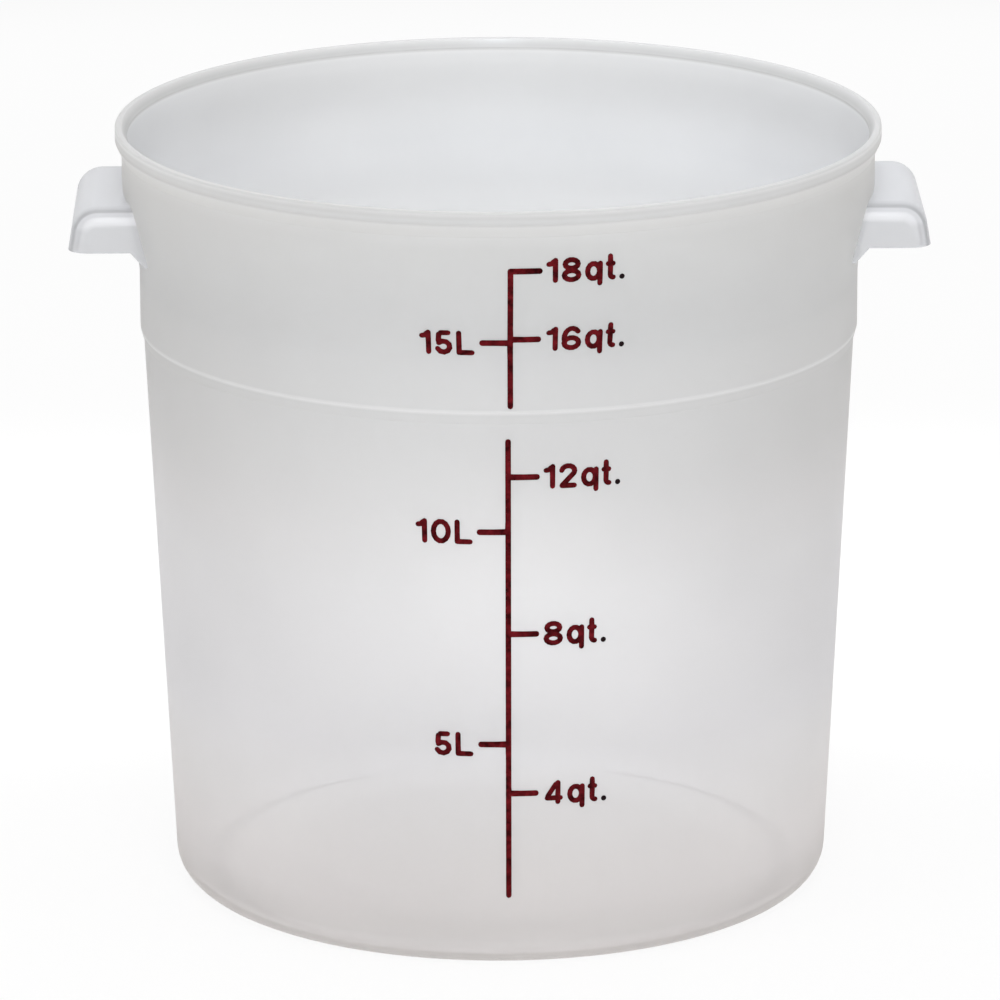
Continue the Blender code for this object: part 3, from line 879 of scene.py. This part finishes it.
# %% Tints of the inside and the floor
# Painted light over the height inside: a bright band where the wall meets the floor and a bright
# band high on the wall.
INSIDE_STOPS = [
    (share_of(BASE), (1.0, 0.99, 1.0)),
    (share_of(BASE + 0.0045), (0.98, 0.97, 0.99)),
    (share_of(BASE + 0.0090), (0.84, 0.835, 0.86)),
    (share_of(BASE + 0.0130), (0.84, 0.835, 0.86)),
    (0.10, (0.90, 0.895, 0.925)),
    (0.34, (0.92, 0.92, 0.94)),
    (0.62, (0.86, 0.87, 0.89)),
    (0.75, (0.96, 0.98, 1.0)),
    (0.79, (0.96, 0.975, 1.0)),
    (0.83, (0.88, 0.895, 0.925)),
    (0.87, (0.83, 0.845, 0.88)),
    (0.92, (0.85, 0.865, 0.895)),
    (share_of(HEIGHT - 0.0070), (0.84, 0.855, 0.88)),
    (share_of(HEIGHT - 0.0050), (0.86, 0.875, 0.90)),
    # Under the rim: a painted highlight line, then painted shade that lightens up to the rim.
    (share_of(HEIGHT - 0.0044), (1.0, 1.0, 1.0)),
    (share_of(HEIGHT - 0.0038), (0.63, 0.635, 0.64)),
    (share_of(HEIGHT - 0.0032), (0.60, 0.605, 0.61)),
    (share_of(HEIGHT - 0.0022), (0.63, 0.635, 0.64)),
    (share_of(HEIGHT - 0.0013), (0.70, 0.705, 0.71)),
    (share_of(HEIGHT - 0.0003), (0.82, 0.82, 0.825)),
]
# By the share out on the floor: paler towards the edge as painted light, then a painted dark ring
# at the edge.
FLOOR_STOPS = [
    (0.00, (0.79, 0.765, 0.75)),
    (0.67, (0.82, 0.795, 0.78)),
    (0.81, (0.99, 0.975, 0.96)),
    (0.932, (1.0, 0.99, 0.98)),
    (0.940, (0.42, 0.42, 0.43)),
]
print(f"inside: {len(INSIDE_STOPS)} stops, floor: {len(FLOOR_STOPS)}")

# %% Tints of the grips
GRIP_TINT = (0.825, 0.833, 0.856)
GRIP_STOPS = [(0.00, GRIP_TINT), (1.00, GRIP_TINT)]
# Painted light along the grips' edges: upright faces darker midway round the turn as painted shade;
# on faces that look up a painted dark crease, then a painted highlight band brighter than white;
# the crease is also less clear.
GRIP_PAINTED_CREASE_AND_HIGHLIGHT = {
    "upright": [(0.10, grey(0.98)), (0.35, grey(0.80)), (0.60, grey(0.76)), (0.80, grey(0.95))],
    "crown": [
        (0.12, grey(1.02)),
        (0.35, grey(0.88)),
        (0.52, grey(0.66)),
        (0.62, grey(0.66)),
        (0.70, grey(1.2)),
        (0.985, grey(1.2)),
        (0.999, grey(0.97)),
    ],
    "clear": [(0.12, grey(1.0)), (0.45, grey(0.3)), (0.62, grey(0.3)), (0.70, grey(1.0))],
}
print("bands along the edges of a grip:", list(GRIP_PAINTED_CREASE_AND_HIGHLIGHT))

# %% [markdown]
# Each face of the shell then gets its finish by where it lies: on a grip, on the inside, on the
# floor or on the outside, which takes in the underside.

# %% Finish of each face
OUTSIDE, INSIDE, ON_FLOOR, ON_GRIP = range(4)
OFF_WALL = 0.0008
GRIP_MARGIN = 0.001
FLOOR_MARGIN = 0.00005
RIM_MARGIN = 0.00001

finishes = [
    milky_plastic("satin_outside", OUTSIDE_STOPS, 0.38),
    milky_plastic("smooth_inside", INSIDE_STOPS, 0.24),
    milky_plastic("thick_floor", FLOOR_STOPS, 0.30, across=radius_share),
    milky_plastic("polished_grips", GRIP_STOPS, 0.16, GRIP_PAINTED_CREASE_AND_HIGHLIGHT),
]


def finish_of(mesh, face):
    """Which finish a face of the shell has."""
    spots = [mesh.vertices[i].co for i in face.vertices]
    out = max(math.hypot(spot.x, spot.y) - wall_radius(spot.z) for spot in spots)
    height = face.center.z
    if out > OFF_WALL and WEB_FOOT - GRIP_MARGIN < height < GRIP_TOP + GRIP_MARGIN:
        return ON_GRIP
    if height > HEIGHT - RIM_MARGIN:
        return INSIDE
    if out > -WALL / 2 or height < BASE / 2:
        return OUTSIDE
    return ON_FLOOR if height < BASE + FLOOR_MARGIN else INSIDE


shell.data.materials.clear()
for finish in finishes:
    shell.data.materials.append(finish)
counts = [0] * len(finishes)
for face in shell.data.polygons:
    face.material_index = finish_of(shell.data, face)
    counts[face.material_index] += 1
print("faces outside, inside, on the floor and on the grips:", counts)

# %% [markdown]
# ## The ink's finish
#
# Screen-printed ink is dense, matt and a little uneven, so a fine noise varies its colour. The
# full stops in the photograph are nearly black.

# %% Material of the ink
COAT = {"Roughness": 0.6, "Specular IOR Level": 0.04}


def ink_material(name, dark, light):
    """A dense coat whose colour is mottled between a dark and a light one."""
    made = bpy.data.materials.new(name)
    tree = fresh_tree(made)
    place = add_node(tree, "ShaderNodeTexCoord").outputs["Object"]
    mottle = add_node(tree, "ShaderNodeTexNoise", {"Scale": 350.0, "Detail": 4.0})
    link(tree, place, mottle.inputs["Vector"])
    colour = ramp_over(tree, mottle.outputs["Fac"], [(0.32, dark), (0.72, light)])
    coat = add_node(tree, "ShaderNodeBsdfPrincipled", COAT)
    link(tree, colour, coat.inputs["Base Color"])
    link(tree, coat.outputs[0], add_node(tree, "ShaderNodeOutputMaterial").inputs[0])
    return made


maroon_ink = ink_material("maroon_ink", (0.027, 0.0006, 0.0012), (0.145, 0.0075, 0.0115))
dark_ink = ink_material("dark_ink", (0.008, 0.004, 0.005), (0.016, 0.008, 0.009))
for film in ink_pieces:
    film.data.materials.clear()
    film.data.materials.append(dark_ink if "stop" in film.name else maroon_ink)
print("inks:", maroon_ink.name, "and", dark_ink.name)

# %% [markdown]
# ## Colours as written
#
# The Standard view shows a colour as it is written.

# %% View settings
bpy.context.scene.view_settings.view_transform = "Standard"
